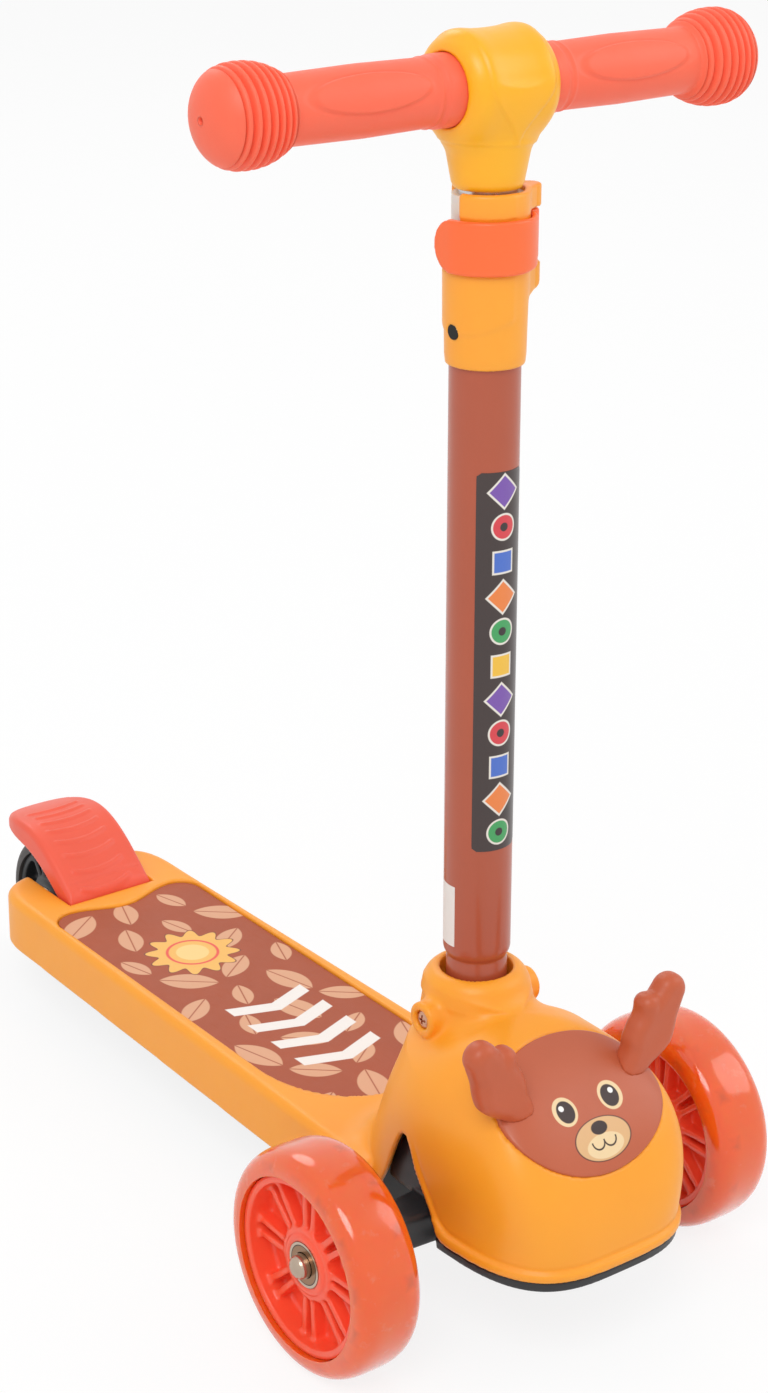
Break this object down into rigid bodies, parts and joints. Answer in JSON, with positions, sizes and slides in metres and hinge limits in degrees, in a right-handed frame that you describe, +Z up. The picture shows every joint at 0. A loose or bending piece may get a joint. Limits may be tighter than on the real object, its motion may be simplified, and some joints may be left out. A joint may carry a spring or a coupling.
{
  "type": "kick scooter",
  "caption": "Small child's three-wheeled kick scooter with a lean-steered front truck, rear foot brake, animal-face nose with antlers and a height-adjustable T handlebar.",
  "frame": {"origin": "on the ground, under the middle of the scooter's outline", "axes": "+Z up, the scooter faces -Y, +X to the rider's left"},
  "size_m": [0.2878, 0.5348, 0.5944],
  "materials": {
    "orange_shell": "satin moulded",
    "orange_sleeve": "satin moulded",
    "black_plastic": "satin moulded",
    "printed_mat": "printed, fine grain",
    "brown_plate": "satin moulded, printed",
    "brown_antler": "satin moulded",
    "brown_tube": "gloss paint",
    "label_film": "printed film",
    "bright_steel": "zinc plated",
    "black_steel": "black oxide",
    "clear_bush": "natural plastic",
    "spring_steel": "drawn wire",
    "bearing_steel": "ground",
    "spacer_steel": "turned",
    "lever_red": "satin moulded",
    "inner_alloy": "drawn",
    "yellow_joint": "satin moulded",
    "coral_grip": "soft, matt",
    "coral_core": "moulded",
    "coral_tyre": "cast, translucent",
    "light_chip": "potted",
    "black_tyre": "cast",
    "coral_brake": "satin moulded",
    "pad_rubber": "moulded"
  },
  "bodies": {
    "deck": {"deck_shell": "orange_shell", "bottom_tray": "black_plastic", "front_cover": "black_plastic", "deck_mat": "printed_mat", "tray_screws": "bright_steel", "cover_screws": "bright_steel", "face_plate": "brown_plate", "antler_left": "brown_antler", "antler_right": "brown_antler", "steering_tube": "brown_tube", "tube_label": "label_film", "neck_bolt": "bright_steel", "neck_nut": "bright_steel", "clamp_sleeve": "orange_sleeve", "clamp_screw": "black_steel", "tube_bush": "clear_bush", "lever_pin": "bright_steel", "pivot_pin": "bright_steel", "pivot_nut": "bright_steel", "spring_left": "spring_steel", "spring_right": "spring_steel", "rear_axle": "bright_steel", "rear_axle_nut": "bright_steel", "rear_inner_races": "bearing_steel", "rear_spacers": "spacer_steel", "brake_pin": "bright_steel", "brake_spring": "spring_steel"},
    "lever": {"clamp_lever": "lever_red"},
    "mast": {"inner_tube": "inner_alloy", "t_joint": "yellow_joint", "cross_tube": "inner_alloy", "grip_left": "coral_grip", "grip_right": "coral_grip"},
    "truck": {"truck": "black_plastic", "front_axles": "bright_steel", "front_inner_races": "bearing_steel", "front_spacers": "spacer_steel", "front_washers": "bright_steel"},
    "wheel_left": {"core_left": "coral_core", "tyre_left": "coral_tyre", "outer_races_left": "bearing_steel", "lights_left": "light_chip"},
    "wheel_right": {"core_right": "coral_core", "tyre_right": "coral_tyre", "outer_races_right": "bearing_steel", "lights_right": "light_chip"},
    "rear_wheel": {"rear_core": "black_plastic", "rear_tyre": "black_tyre", "rear_outer_races": "bearing_steel"},
    "brake": {"brake": "coral_brake", "brake_pad": "pad_rubber"}
  },
  "joints": [
    {"name": "truck_lean", "type": "hinge", "parent": "deck", "child": "truck", "pos_m": [0, -0.1806, 0.058], "axis": [0, -0.766, 0.6428], "range_deg": [-10, 10], "stiffness_Nm_per_rad": 60, "deforming": ["spring_left", "spring_right"]},
    {"name": "wheel_left_spin", "type": "hinge", "parent": "truck", "child": "wheel_left", "pos_m": [-0.1068, -0.1806, 0.055], "axis": [1, 0, 0], "continuous": true},
    {"name": "wheel_right_spin", "type": "hinge", "parent": "truck", "child": "wheel_right", "pos_m": [0.1068, -0.1806, 0.055], "axis": [1, 0, 0], "continuous": true},
    {"name": "rear_wheel_spin", "type": "hinge", "parent": "deck", "child": "rear_wheel", "pos_m": [0, 0.2274, 0.04], "axis": [1, 0, 0], "continuous": true},
    {"name": "brake_press", "type": "hinge", "parent": "deck", "child": "brake", "pos_m": [0, 0.1854, 0.059], "axis": [-1, 0, 0], "range_deg": [0, 5], "stiffness_Nm_per_rad": 1.5, "springref_deg": -11.46},
    {"name": "mast_height", "type": "slide", "parent": "deck", "child": "mast", "axis": [0, 0.0175, 0.9998], "range_m": [0, 0.15]},
    {"name": "lever_open", "type": "hinge", "parent": "deck", "child": "lever", "pos_m": [0.023, -0.1483, 0.50442], "axis": [0, 0.0175, 0.9998], "range_deg": [0, 100]}
  ]
}
